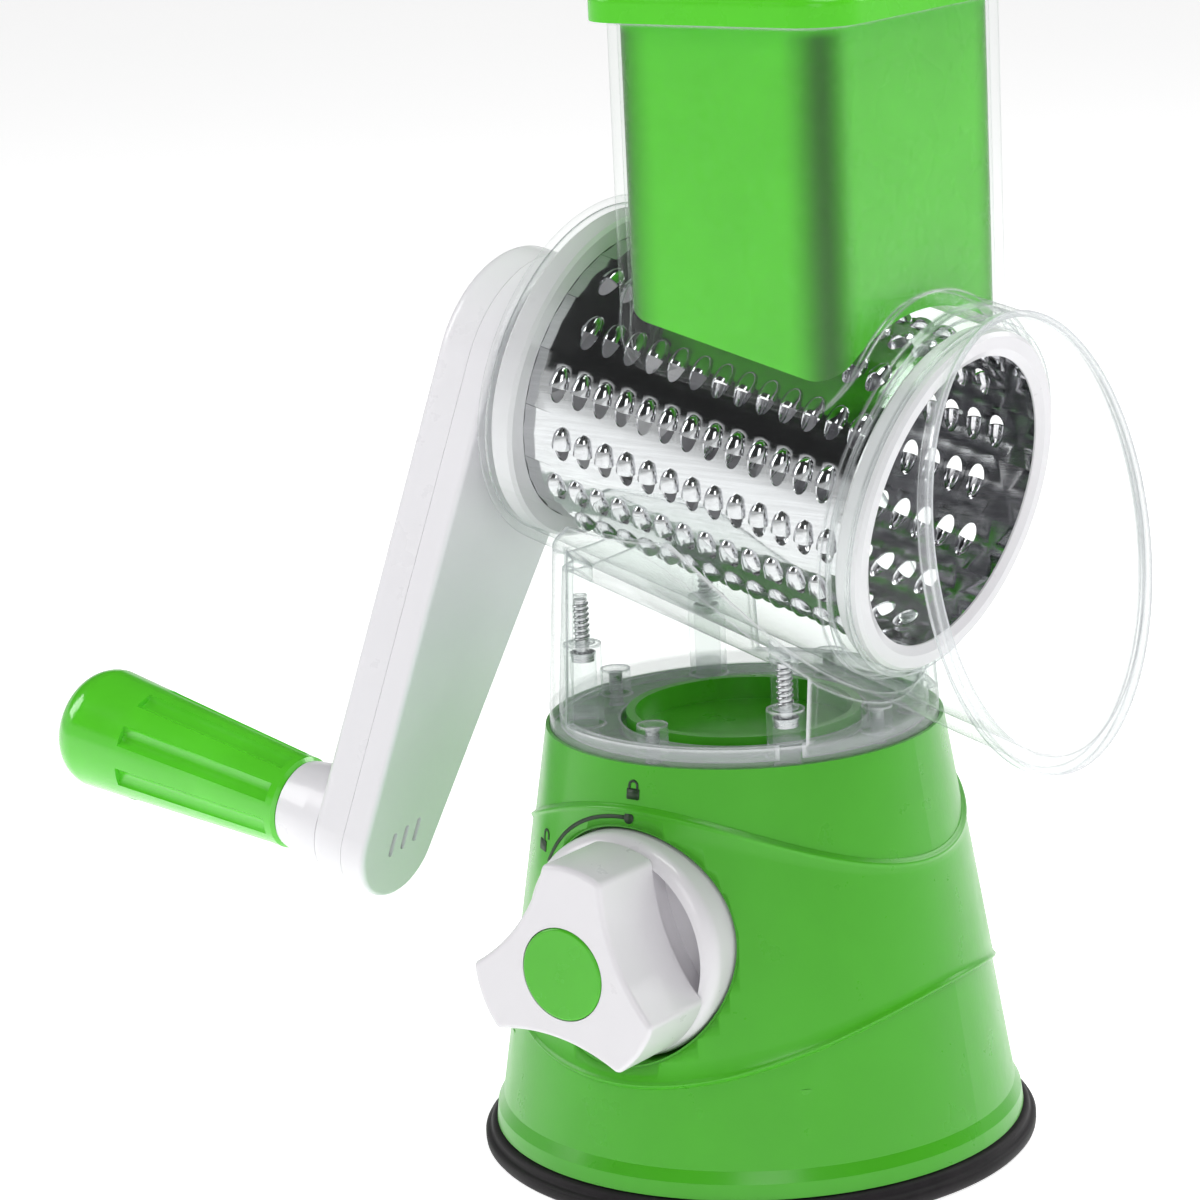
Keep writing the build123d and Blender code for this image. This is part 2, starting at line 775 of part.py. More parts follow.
spindle_end_u = -140.5
clip_u = -139.2
with BuildPart() as handle_spindle:
    add(
        turned(
            handle_section,
            [
                (spindle_seat_u + 0.1, 0),
                (spindle_seat_u + 0.1, 6.0),
                (spindle_seat_u + 2.4, 6.0),
                (spindle_seat_u + 2.4, 0),
            ],
            handle_axis,
        )
    )
    add(
        turned(
            handle_section,
            [
                (spindle_seat_u + 0.1, 0),
                (spindle_seat_u + 0.1, spindle_r),
                (clip_u + 0.5, spindle_r),
                (clip_u + 0.5, spindle_r - 0.7),
                (clip_u - 0.5, spindle_r - 0.7),
                (clip_u - 0.5, spindle_r),
                (spindle_end_u + 0.6, spindle_r),
                (spindle_end_u, spindle_r - 0.6),
                (spindle_end_u, 0),
            ],
            handle_axis,
        )
    )
save(handle_spindle.part, "handle_spindle")

clip_outline = [
    (clip_u + 0.4, spindle_r - 0.6),
    (clip_u + 0.4, 5.8),
    (clip_u - 0.4, 5.8),
    (clip_u - 0.4, spindle_r - 0.6),
]
save(turned(handle_section, clip_outline, handle_axis), "grip_clip")

flute_r = 3.2
flute_count = 8
flute_depth = 1.5
flute_far_u = -122.5
flute_near_u = -79.0
tip_r = 8.0
sleeve_r = 6.4
grip_wall = 3.0
tip_u = grip_far_u + tip_r
grip_slope = (grip_far_r - grip_near_r) / (grip_near_u - tip_u)


def grip_radius(u):
    """Outside radius of the grip's straight part."""
    return grip_near_r + grip_slope * (grip_near_u - u)


with BuildPart() as handle_grip:
    with BuildSketch(handle_section):
        with BuildLine():
            Polyline(
                (tip_u, grip_far_r),
                (grip_near_u - 0.8, grip_near_r),
                (grip_near_u, grip_near_r - 0.8),
                (grip_near_u, spindle_r + running_fit),
                (clip_u + 1.2, spindle_r + running_fit),
                (clip_u + 1.2, 6.3),
                (spindle_end_u - 1.5, 6.3),
                (spindle_end_u - 1.5, 0),
                (grip_far_u - 0.8, 0),
            )
            ThreePointArc(
                (grip_far_u - 0.8, 0),
                (grip_far_u - 0.6, (grip_far_r - tip_r) / 2),
                (grip_far_u, grip_far_r - tip_r),
            )
            ThreePointArc(
                (grip_far_u, grip_far_r - tip_r),
                (tip_u - tip_r * sin(pi / 4), grip_far_r - tip_r * (1 - cos(pi / 4))),
                (tip_u, grip_far_r),
            )
        make_face()
    revolve(axis=handle_axis)
    with BuildSketch(handle_section):
        with BuildLine():
            Polyline(
                (grip_near_u + 1, sleeve_r),
                (grip_near_u + 1, grip_near_r - grip_wall),
                (flute_far_u + 6.0, grip_radius(flute_far_u + 6.0) - grip_wall),
                (flute_far_u + 6.0, sleeve_r),
                close=True,
            )
        make_face()
    revolve(axis=handle_axis, mode=Mode.SUBTRACT)
    # shallow flutes that follow the taper and end in a step near the rounded end
    for k in range(flute_count):
        a = radians(20 + 360 / flute_count * k)
        with BuildSketch(across_handle(flute_far_u)):
            reach = grip_radius(flute_far_u) + flute_r - flute_depth
            with Locations((reach * cos(a), reach * sin(a))):
                Circle(flute_r)
        with BuildSketch(across_handle(flute_near_u)):
            reach = grip_radius(flute_near_u) + flute_r - flute_depth * 0.8
            with Locations((reach * cos(a), reach * sin(a))):
                Circle(flute_r)
        loft(mode=Mode.SUBTRACT)
save(handle_grip.part, "handle_grip")

# ---- drum ------------------------------------------------------------------------

blade_bore = blade_r + 0.05
blade_outline = [
    (drum_rear_u + 2.0, blade_r - blade_thickness),
    (drum_rear_u + 2.0, blade_r),
    (drum_front_u - 1.6, blade_r),
    (drum_front_u - 1.6, blade_r - blade_thickness),
]
save(turned(drum_section, blade_outline, drum_axis), "drum_blade")

front_ring_outline = [
    (front_ring_u, blade_bore),
    (front_ring_u, ring_r - 0.8),
    (front_ring_u + 0.8, ring_r),
    (drum_front_u - 0.8, ring_r),
    (drum_front_u, ring_r - 0.8),
    (drum_front_u, 34.2),
    (drum_front_u - 1.1, 32.3),
    (drum_front_u - 1.5, 32.3),
    (drum_front_u - 1.5, blade_bore),
]
save(turned(drum_section, front_ring_outline, drum_axis), "drum_front_ring")

socket_r = 12.0
socket_end_u = -20.0
socket_across = 12.0
web = 1.9
rear_hub_outline = [
    (drum_rear_u, 0),
    (drum_rear_u, ring_r - 0.8),
    (drum_rear_u + 0.8, ring_r),
    (rear_ring_end_u - 0.8, ring_r),
    (rear_ring_end_u, ring_r - 0.8),
    (rear_ring_end_u, blade_bore),
    (drum_rear_u + web, blade_bore),
    (drum_rear_u + web, socket_r),
    (socket_end_u, socket_r),
    (socket_end_u, 0),
]
with BuildPart() as drum_rear_hub:
    add(turned(drum_section, rear_hub_outline, drum_axis))
    with BuildSketch(across(drum_rear_u + web / 2)):
        for k in range(6):
            with Locations(Rot(0, 0, 60 * k)):
                with Locations((21.5, 0)):
                    Rectangle(20.5, 1.6)
    extrude(amount=5)
    with BuildSketch(across(drum_rear_u - 1)):
        RegularPolygon(socket_across / 2, 6, major_radius=False)
    extrude(amount=25, mode=Mode.SUBTRACT)
save(drum_rear_hub.part, "drum_rear_hub")

# ---- pusher ----------------------------------------------------------------------

drum_clearance = 38.2
bottom_arc_r = 60.0
flange_z = hopper_top_z + body_gap
bottom_plate = 2.2


def pusher_block(inset, from_z, to_z):
    """Upright block of the pusher's plan shape, less an inset."""
    with BuildPart() as block:
        with BuildSketch(Plane.XY.offset(from_z)):
            with Locations((hopper_x, 0)):
                RectangleRounded(
                    2 * (pusher_half_x - inset),
                    2 * (pusher_half_y - inset),
                    pusher_corner - inset,
                )
        extrude(amount=to_z - from_z)
    return block.part


def drum_saddle(rise):
    """Half pipe along the drum that hollows the pusher's foot."""
    with BuildPart() as pipe:
        with BuildSketch(across(-80)):
            with Locations((0, drum_clearance - bottom_arc_r + rise)):
                Circle(bottom_arc_r)
        extrude(amount=200)
    return pipe.part


foot_z = 160.0
top_z = flange_z + flange_thickness
with BuildPart() as pusher_hollow:
    add(pusher_block(pusher_wall, foot_z, top_z + 1))
    add(drum_saddle(bottom_plate), mode=Mode.SUBTRACT)

with BuildPart() as pusher:
    add(pusher_block(0, foot_z, top_z))
    with BuildSketch(Plane.XY.offset(flange_z)):
        with Locations((hopper_x, 0)):
            RectangleRounded(
                2 * (pusher_half_x + flange_overhang),
                2 * (pusher_half_y + flange_overhang),
                pusher_corner + 4,
            )
    extrude(amount=flange_thickness)
    fillet(pusher.faces().sort_by(Axis.Z)[-1].edges(), 2.0)
    add(drum_saddle(0), mode=Mode.SUBTRACT)
    add(pusher_hollow.part, mode=Mode.SUBTRACT)
save(pusher.part, "pusher")
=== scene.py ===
import bmesh
import bpy
import json
import math
from mathutils import Matrix, Vector


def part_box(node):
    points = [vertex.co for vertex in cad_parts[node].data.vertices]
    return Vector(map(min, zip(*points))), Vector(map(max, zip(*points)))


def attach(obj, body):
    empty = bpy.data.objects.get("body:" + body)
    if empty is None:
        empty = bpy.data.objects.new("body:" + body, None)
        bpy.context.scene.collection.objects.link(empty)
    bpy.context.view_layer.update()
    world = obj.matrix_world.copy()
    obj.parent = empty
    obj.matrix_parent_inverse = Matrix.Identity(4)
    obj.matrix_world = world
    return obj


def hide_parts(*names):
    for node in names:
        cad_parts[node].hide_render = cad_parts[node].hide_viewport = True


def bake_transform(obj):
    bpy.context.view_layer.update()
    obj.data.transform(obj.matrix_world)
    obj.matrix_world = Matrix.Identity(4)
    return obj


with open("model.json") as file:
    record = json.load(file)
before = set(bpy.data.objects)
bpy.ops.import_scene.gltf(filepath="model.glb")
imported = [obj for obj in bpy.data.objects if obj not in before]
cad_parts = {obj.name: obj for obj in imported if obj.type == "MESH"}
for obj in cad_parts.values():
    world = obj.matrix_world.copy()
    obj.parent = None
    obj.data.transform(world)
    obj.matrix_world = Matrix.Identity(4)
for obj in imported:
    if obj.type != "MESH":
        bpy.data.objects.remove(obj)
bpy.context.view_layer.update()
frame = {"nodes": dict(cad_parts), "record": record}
record = frame["record"]
nodes = frame["nodes"]

MM = 0.001
TAU = 2 * math.pi

# ---- frame taken from the record ------------------------------------------------

joints = {j["name"]: j for j in record["behaviour"]["joints"]}
DRUM_AT = Vector(joints["crank_spin"]["pos_m"])
DRUM_AXIS = Vector(joints["crank_spin"]["axis"]).normalized()
SIDE = Vector((0, 1, 0))
UP = DRUM_AXIS.cross(SIDE)
if UP.z < 0:
    UP = -UP
KNOB_AT = Vector(joints["knob_turn"]["pos_m"])
TILT = math.asin(-DRUM_AXIS.z)


# ---- camera ----------------------------------------------------------------------

CAMERA_AT = (0.511847, -0.740279, 0.34609)
CAMERA_RIGHT = Vector((0.809, 0.587, -0.047)).normalized()
CAMERA_BACK = Vector((0.579, -0.779, 0.239)).normalized()
LENS = 125.93


def make_camera():
    data = bpy.data.cameras.new("camera")
    data.lens = LENS
    data.sensor_width = 36.0
    data.clip_start = 0.01
    data.clip_end = 50.0
    cam = bpy.data.objects.new("camera", data)
    bpy.context.scene.collection.objects.link(cam)
    up = CAMERA_BACK.cross(CAMERA_RIGHT).normalized()
    right = up.cross(CAMERA_BACK).normalized()
    turn = Matrix((right, up, CAMERA_BACK)).transposed().to_4x4()
    cam.matrix_world = Matrix.Translation(CAMERA_AT) @ turn
    bpy.context.scene.camera = cam


make_camera()

# ---- material helpers ------------------------------------------------------------


class Nodes:
    """A material's node tree with a Principled shader and short ways to add to it."""

    def __init__(self, name):
        self.material = bpy.data.materials.new(name)
        self.material.use_nodes = True
        self.tree = self.material.node_tree
        self.tree.nodes.clear()
        self.output = self.tree.nodes.new("ShaderNodeOutputMaterial")
        self.shader = self.tree.nodes.new("ShaderNodeBsdfPrincipled")
        self.link(self.shader.outputs[0], self.output.inputs["Surface"])
        self.coords = self.tree.nodes.new("ShaderNodeTexCoord").outputs["Object"]

    def link(self, a, b):
        self.tree.links.new(a, b)

    def set(self, **values):
        for key, value in values.items():
            self.shader.inputs[key.replace("_", " ")].default_value = value

    def mapped(self, scale, turn=(0, 0, 0)):
        n = self.tree.nodes.new("ShaderNodeMapping")
        n.inputs["Scale"].default_value = scale
        n.inputs["Rotation"].default_value = turn
        self.link(self.coords, n.inputs["Vector"])
        return n.outputs[0]

    def noise(self, scale, detail=3.0, rough=0.5, coords=None, distortion=0.0):
        n = self.tree.nodes.new("ShaderNodeTexNoise")
        n.inputs["Scale"].default_value = scale
        n.inputs["Detail"].default_value = detail
        n.inputs["Roughness"].default_value = rough
        n.inputs["Distortion"].default_value = distortion
        self.link(coords or self.coords, n.inputs["Vector"])
        return n.outputs[0]

    def ramp(self, fac, stops):
        n = self.tree.nodes.new("ShaderNodeValToRGB")
        ramp = n.color_ramp
        ramp.elements[0].position, ramp.elements[0].color = stops[0][0], (*stops[0][1], 1)
        ramp.elements[1].position, ramp.elements[1].color = stops[-1][0], (*stops[-1][1], 1)
        for at, colour in stops[1:-1]:
            ramp.elements.new(at).color = (*colour, 1)
        self.link(fac, n.inputs[0])
        return n.outputs[0]

    def remap(self, fac, lo, hi, from_lo=0.3, from_hi=0.7):
        n = self.tree.nodes.new("ShaderNodeMapRange")
        n.inputs["From Min"].default_value = from_lo
        n.inputs["From Max"].default_value = from_hi
        n.inputs["To Min"].default_value = lo
        n.inputs["To Max"].default_value = hi
        self.link(fac, n.inputs["Value"])
        return n.outputs[0]

    def math(self, operation, a, b=0.0):
        n = self.tree.nodes.new("ShaderNodeMath")
        n.operation = operation
        for socket, value in zip(n.inputs, (a, b)):
            if isinstance(value, (int, float)):
                socket.default_value = value
            else:
                self.link(value, socket)
        return n.outputs[0]

    def dot(self, a, b):
        n = self.tree.nodes.new("ShaderNodeVectorMath")
        n.operation = "DOT_PRODUCT"
        self.link(a, n.inputs[0])
        if isinstance(b, Vector):
            n.inputs[1].default_value = b
        else:
            self.link(b, n.inputs[1])
        return n.outputs["Value"]

    def mix_colours(self, fac, a, b):
        """a and b are colours or sockets."""
        n = self.tree.nodes.new("ShaderNodeMix")
        n.data_type = "RGBA"
        self.link(fac, n.inputs[0])
        for socket, value in ((n.inputs[6], a), (n.inputs[7], b)):
            if isinstance(value, tuple):
                socket.default_value = (*value, 1)
            else:
                self.link(value, socket)
        return n.outputs[2]

    def mix_shaders(self, fac, a, b):
        n = self.tree.nodes.new("ShaderNodeMixShader")
        for socket, value in zip(n.inputs, (fac, a, b)):
            self.link(value, socket)
        return n.outputs[0]

    def bump(self, height, strength, distance):
        n = self.tree.nodes.new("ShaderNodeBump")
        n.inputs["Strength"].default_value = strength
        n.inputs["Distance"].default_value = distance
        self.link(height, n.inputs["Height"])
        self.link(n.outputs[0], self.shader.inputs["Normal"])


def shade(colour, factor):
    return tuple(min(1.0, c * factor) for c in colour)


def moulding(m, colour, mottle, rough):
    """Gives a moulding its patchy polish and fine orange-peel, and returns its faintly mottled colour."""
    m.link(m.remap(m.noise(95.0, 5.0, 0.6), rough[0], rough[1]), m.shader.inputs["Roughness"])
    m.bump(m.noise(900.0, 2.0, 0.5), 0.05, 0.4 * MM)
    flow = m.noise(38.0, 4.0, 0.55, distortion=0.6)
    return m.ramp(flow, [(0.3, shade(colour, 1 - mottle)), (0.7, shade(colour, 1 + mottle))])


def plastic(name, colour, rough=(0.16, 0.3), coat=0.3, polish=0.06, mottle=0.06, sheen=0.5):
    """Glossy moulded plastic of one colour. polish is the roughness of its coat."""
    m = Nodes(name)
    m.link(moulding(m, colour, mottle, rough), m.shader.inputs["Base Color"])
    m.set(IOR=1.5, Specular_IOR_Level=sheen, Coat_Weight=coat, Coat_Roughness=polish)
    return m.material


def along(m, direction):
    """Distance of the shaded point from the drum's centre along a direction."""
    return m.math("SUBTRACT", m.dot(m.coords, direction), DRUM_AT.dot(direction))


ARM_FACE_U = -47.5 * MM
ARM_SHADE_FROM = -18 * MM
ARM_SHADE_TO = -62 * MM


def cover_plastic(name, side_colour, shade_colour):
    """The crank cover: white round its sides, and on its flat face below the hub a cooler grey-green of
    painted shade.
    """
    m = Nodes(name)
    face = m.remap(along(m, DRUM_AXIS), 0.0, 1.0, ARM_FACE_U - 1.0 * MM, ARM_FACE_U - 0.2 * MM)
    # painted shade on the face: none 18 mm below the drum's centre, full from 62 mm below it
    low = m.remap(along(m, UP), 0.0, 1.0, ARM_SHADE_FROM, ARM_SHADE_TO)
    tone = moulding(m, shade_colour, 0.02, (0.3, 0.38))
    m.link(m.mix_colours(m.math("MULTIPLY", face, low), side_colour, tone), m.shader.inputs["Base Color"])
    m.set(IOR=1.5, Coat_Weight=0.1, Coat_Roughness=0.1)
    return m.material


PUSHER_HALF = (26.7 * MM, 34.2 * MM)
CORNER_FROM = 2.5 * MM
CORNER_TO = 11.0 * MM
FLANGE_DEEP = 6 * MM


def pusher_plastic(name, colour, corner_shade_colour):
    """The pusher's moulding: green walls, with painted shade that darkens them toward their rounded upright
    corners below the flange.
    """
    m = Nodes(name)
    lo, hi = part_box("pusher")
    split = m.tree.nodes.new("ShaderNodeSeparateXYZ")
    m.link(m.coords, split.inputs[0])
    squares = []
    for axis in (0, 1):
        off = m.math("SUBTRACT", split.outputs[axis], (lo[axis] + hi[axis]) / 2)
        gap = m.math("SUBTRACT", PUSHER_HALF[axis], m.math("ABSOLUTE", off))
        squares.append(m.math("MULTIPLY", gap, gap))
    reach = m.math("SQRT", m.math("ADD", squares[0], squares[1]))
    corner = m.remap(reach, 1.0, 0.0, CORNER_FROM, CORNER_TO)
    flange_z = hi[2] - FLANGE_DEEP
    below_flange = m.remap(split.outputs[2], 1.0, 0.0, flange_z - 3 * MM, flange_z)
    # painted shade: darker toward each upright corner, only below the flange
    painted_corner_shade = m.math("MULTIPLY", m.math("POWER", corner, 1.4), below_flange)
    tone = moulding(m, colour, 0.05, (0.2, 0.34))
    m.link(m.mix_colours(painted_corner_shade, tone, corner_shade_colour), m.shader.inputs["Base Color"])
    m.set(IOR=1.5, Specular_IOR_Level=0.2, Coat_Weight=0.05, Coat_Roughness=0.06)
    return m.material


def steel(name, colour, rough, streak, turn=(0, 0, 0)):
    """Rolled steel: a grain of long streaks, with smudges in its polish."""
    m = Nodes(name)
    grain = m.noise(1.0, 4.0, 0.6, coords=m.mapped(streak, turn))
    smudge = m.noise(70.0, 4.0, 0.6, distortion=0.8)
    m.link(
        m.ramp(grain, [(0.3, shade(colour, 0.9)), (0.7, shade(colour, 1.08))]),
        m.shader.inputs["Base Color"],
    )
    mixed = m.math("MULTIPLY", m.math("ADD", grain, smudge), 0.5)
    m.link(m.remap(mixed, rough[0], rough[1]), m.shader.inputs["Roughness"])
    m.bump(grain, 0.04, 0.2 * MM)
    m.set(Metallic=1.0)
    return m.material


def rubber(name, colour):
    """Dark moulded rubber with a matt, slightly dusty skin."""
    m = Nodes(name)
    dust = m.noise(120.0, 5.0, 0.65)
    m.link(
        m.ramp(dust, [(0.35, shade(colour, 0.8)), (0.75, shade(colour, 1.7))]),
        m.shader.inputs["Base Color"],
    )
    m.link(m.remap(m.noise(60.0, 4.0, 0.5), 0.45, 0.65), m.shader.inputs["Roughness"])
    m.bump(m.noise(1800.0, 3.0, 0.6), 0.12, 0.3 * MM)
    m.set(IOR=1.5, Specular_IOR_Level=0.22)
    return m.material


def edge_mask(m, radius):
    """1 along the edges of a moulding and 0 on its open faces."""
    rounded = m.tree.nodes.new("ShaderNodeBevel")
    rounded.samples = 6
    rounded.inputs["Radius"].default_value = radius
    true = m.tree.nodes.new("ShaderNodeNewGeometry")
    agree = m.math("ABSOLUTE", m.dot(rounded.outputs[0], true.outputs["Normal"]))
    return m.remap(agree, 1.0, 0.0, 0.86, 0.985)


def clear_plastic(name, tint, edge_shade, haze, rim):
    """Polished transparent moulding: the view straight through is clean, its edges carry painted
    shade and highlight, and the surface mirrors more the flatter it is seen. rim is (direction, from, to,
    strength): past that distance from the drum's centre along the direction, a pale highlight is painted on."""
    m = Nodes(name)
    new = m.tree.nodes.new
    facing = new("ShaderNodeLayerWeight")
    facing.inputs["Blend"].default_value = 0.5
    slant = facing.outputs["Facing"]
    edge = edge_mask(m, 1.5 * MM)
    # what passes straight through, darkened at the edges and where the wall is seen slantwise: painted shade
    see = new("ShaderNodeBsdfTransparent")
    stops = [(0.0, tint), (0.75, shade(tint, 0.99)), (0.9, shade(tint, 0.93)), (1.0, shade(edge_shade, 0.8))]
    m.link(m.mix_colours(m.math("POWER", edge, 1.5), m.ramp(slant, stops), edge_shade), see.inputs[0])
    # pale diffuse white at the edges, where the wall is seen slantwise and along the rim: painted highlight,
    # with a faint even haze
    haze_and_highlight = new("ShaderNodeBsdfDiffuse")
    haze_and_highlight.inputs["Color"].default_value = (0.74, 0.76, 0.79, 1)
    painted_edge_highlight = m.math("ADD", m.math("MULTIPLY", edge, 0.4), m.math("MULTIPLY", m.math("POWER", slant, 8.0), 0.35))
    direction, start, end, strength = rim
    band = m.remap(along(m, direction), 0.0, strength, start, end)
    haze_and_highlight_amount = m.math("ADD", m.math("ADD", painted_edge_highlight, haze), band)
    hazed_and_highlit = m.mix_shaders(haze_and_highlight_amount, see.outputs[0], haze_and_highlight.outputs[0])
    # reflections, slightly rippled
    ripple = new("ShaderNodeBump")
    ripple.inputs["Strength"].default_value = 0.1
    ripple.inputs["Distance"].default_value = 0.5 * MM
    m.link(m.noise(75.0, 2.0, 0.4, distortion=0.4), ripple.inputs["Height"])
    gloss = new("ShaderNodeBsdfGlossy")
    gloss.inputs["Color"].default_value = (0.96, 0.98, 0.97, 1)
    m.link(m.remap(m.noise(60.0, 4.0, 0.6), 0.02, 0.09), gloss.inputs["Roughness"])
    m.link(ripple.outputs[0], gloss.inputs["Normal"])
    grazing = m.math("MULTIPLY", m.math("POWER", slant, 5.0), 0.4)
    mirror = m.math("ADD", m.math("ADD", grazing, m.math("MULTIPLY", edge, 0.25)), 0.012)
    m.tree.nodes.remove(m.shader)
    m.link(m.mix_shaders(mirror, hazed_and_highlit, gloss.outputs[0]), m.output.inputs["Surface"])
    return m.material


GREEN = (0.072, 0.46, 0.018)
WHITE = (0.73, 0.715, 0.745)
ARM_WHITE = (0.80, 0.79, 0.82)
# grey-green of the crank cover's face below the hub: painted shade
COVER_SHADE_GREY = (0.75, 0.80, 0.80)
STEEL = (0.62, 0.62, 0.64)

green = plastic("green_plastic", GREEN, rough=(0.2, 0.3), coat=0.25, mottle=0.04, sheen=0.3)
# the base's green is set darker than the other green parts: painted shade
shaded_base_green = plastic(
    "base_plastic", shade(GREEN, 0.87), rough=(0.26, 0.36), coat=0.2, polish=0.2, mottle=0.04, sheen=0.3
)
# the grip's green is set lighter than the other green parts: painted light
lit_green_grip = plastic("grip_plastic", shade(GREEN, 1.3), rough=(0.14, 0.26), coat=0.5)
# the second green is the painted shade at the pusher's corners
green_pusher = pusher_plastic("pusher_plastic", shade(GREEN, 1.25), shade(GREEN, 0.22))
white = plastic("white_plastic", WHITE, rough=(0.27, 0.33), coat=0.2, mottle=0.006)
arm_white = plastic("arm_plastic", ARM_WHITE, rough=(0.26, 0.32), coat=0.25, mottle=0.006)
cover_shaded = cover_plastic("cover_plastic", ARM_WHITE, COVER_SHADE_GREY)
inner_white = plastic("mechanism_plastic", WHITE, rough=(0.3, 0.5), coat=0.0, mottle=0.03)
blade_steel = steel("blade_steel", STEEL, (0.05, 0.14), (40.0, 1500.0, 1500.0), (0, -TILT, 0))
screw_steel = steel("screw_steel", shade(STEEL, 0.9), (0.2, 0.36), (300.0, 300.0, 2200.0))
pad_rubber = rubber("pad_rubber", (0.012, 0.01, 0.012))
ink = plastic("print_ink", (0.004, 0.03, 0.003), rough=(0.4, 0.6), coat=0.0)

# where the clear mouldings are thick, at the face of the mouth and below the stand's deck, a pale highlight
# is painted on
MOUTH_LEAN = math.radians(9.2)
MOUTH_WAY = Vector((math.cos(MOUTH_LEAN), 0, math.sin(MOUTH_LEAN)))
MOUTH_AT = MOUTH_WAY.dot(Vector((77.8 * MM, 0, 143.7 * MM)) - DRUM_AT)
STAND_RIM_BELOW = DRUM_AT.z - 101.0 * MM

# the second colour is the painted shade at the edges; the last argument places the rim's painted highlight
clear = clear_plastic(
    "clear_plastic", (0.988, 0.995, 0.991), (0.36, 0.40, 0.40), 0.003,
    (MOUTH_WAY, MOUTH_AT - 2.3 * MM, MOUTH_AT - 1.7 * MM, 0.3),
)
clear_support = clear_plastic(
    "clear_support_plastic", (0.98, 0.99, 0.985), (0.40, 0.44, 0.44), 0.05,
    (Vector((0, 0, -1)), STAND_RIM_BELOW - 0.2 * MM, STAND_RIM_BELOW + 0.6 * MM, 0.22),
)

NODE_MATERIALS = {
    "base_shell": shaded_base_green,
    "base_floor": shaded_base_green,
    "floor_screws": screw_steel,
    "pad_stud": screw_steel,
    "lift_stem": inner_white,
    "cam_bracket": inner_white,
    "bracket_screws": screw_steel,
    "cam_shaft": screw_steel,
    "shaft_clip": screw_steel,
    "knob": white,
    "knob_cap": green,
    "knob_screw": screw_steel,
    "clear_stand": clear_support,
    "stand_screws": screw_steel,
    "housing_screws": screw_steel,
    "clear_housing": clear,
    "crank_bush": inner_white,
    "crank_shaft": inner_white,
    "crank_arm": arm_white,
    "crank_cover": cover_shaded,
    "crank_screws": screw_steel,
    "handle_spindle": screw_steel,
    "grip_clip": screw_steel,
    "handle_grip": lit_green_grip,
    "drum_blade": blade_steel,
    "drum_front_ring": white,
    "drum_rear_hub": white,
    "pusher": green_pusher,
    "suction_pad": pad_rubber,
    "return_spring": screw_steel,
}
for node, material in NODE_MATERIALS.items():
    obj = nodes[node]
    if not obj.material_slots:
        obj.data.materials.append(material)
    for slot in obj.material_slots:
        slot.material = material

# ---- mesh helpers ----------------------------------------------------------------


def piece(name, verts, faces, material):
    mesh = bpy.data.meshes.new(name)
    mesh.from_pydata([tuple(v) for v in verts], [], faces)
    mesh.materials.append(material)
    for face in mesh.polygons:
        face.use_smooth = True
    mesh.update()
    obj = bpy.data.objects.new(name, mesh)
    bpy.context.scene.collection.objects.link(obj)
    return obj


def tidy_normals(obj):
    b = bmesh.new()
    b.from_mesh(obj.data)
    bmesh.ops.remove_doubles(b, verts=b.verts, dist=1e-7)
    bmesh.ops.recalc_face_normals(b, faces=b.faces)
    b.to_mesh(obj.data)
    b.free()


def bake(obj):
    """Replaces the object's mesh with what its modifiers make of it."""
    graph = bpy.context.evaluated_depsgraph_get()
    mesh = bpy.data.meshes.new_from_object(obj.evaluated_get(graph))
    obj.modifiers.clear()
    obj.data = mesh


# ---- drum blade with hooded teeth -------------------------------------------------

BLADE_R = 33.0 * MM
BLADE_FROM = -35.9 * MM
BLADE_TO = 57.1 * MM
TEETH_FROM = -27.5 * MM
TEETH_TO = 47.5 * MM
TEETH_PITCH = 5.75 * MM
TOOTH_ROWS = 16
TOOTH_HALF_WIDTH = 1.95 * MM
TOOTH_LENGTH = 4.6 * MM
HOLE_LENGTH = 3.5 * MM
TOOTH_HEIGHT = 2.0 * MM
TOOTH_SHIFT = 0.5 * MM
SHEET = 0.5 * MM
SPOKES = 24
HOOD_STEPS = 6
SHARP_ANGLE = math.radians(34)


def weld_key(length):
    """A length in tenths of a micrometre, by which points that coincide are found."""
    return round(length * 1e7)


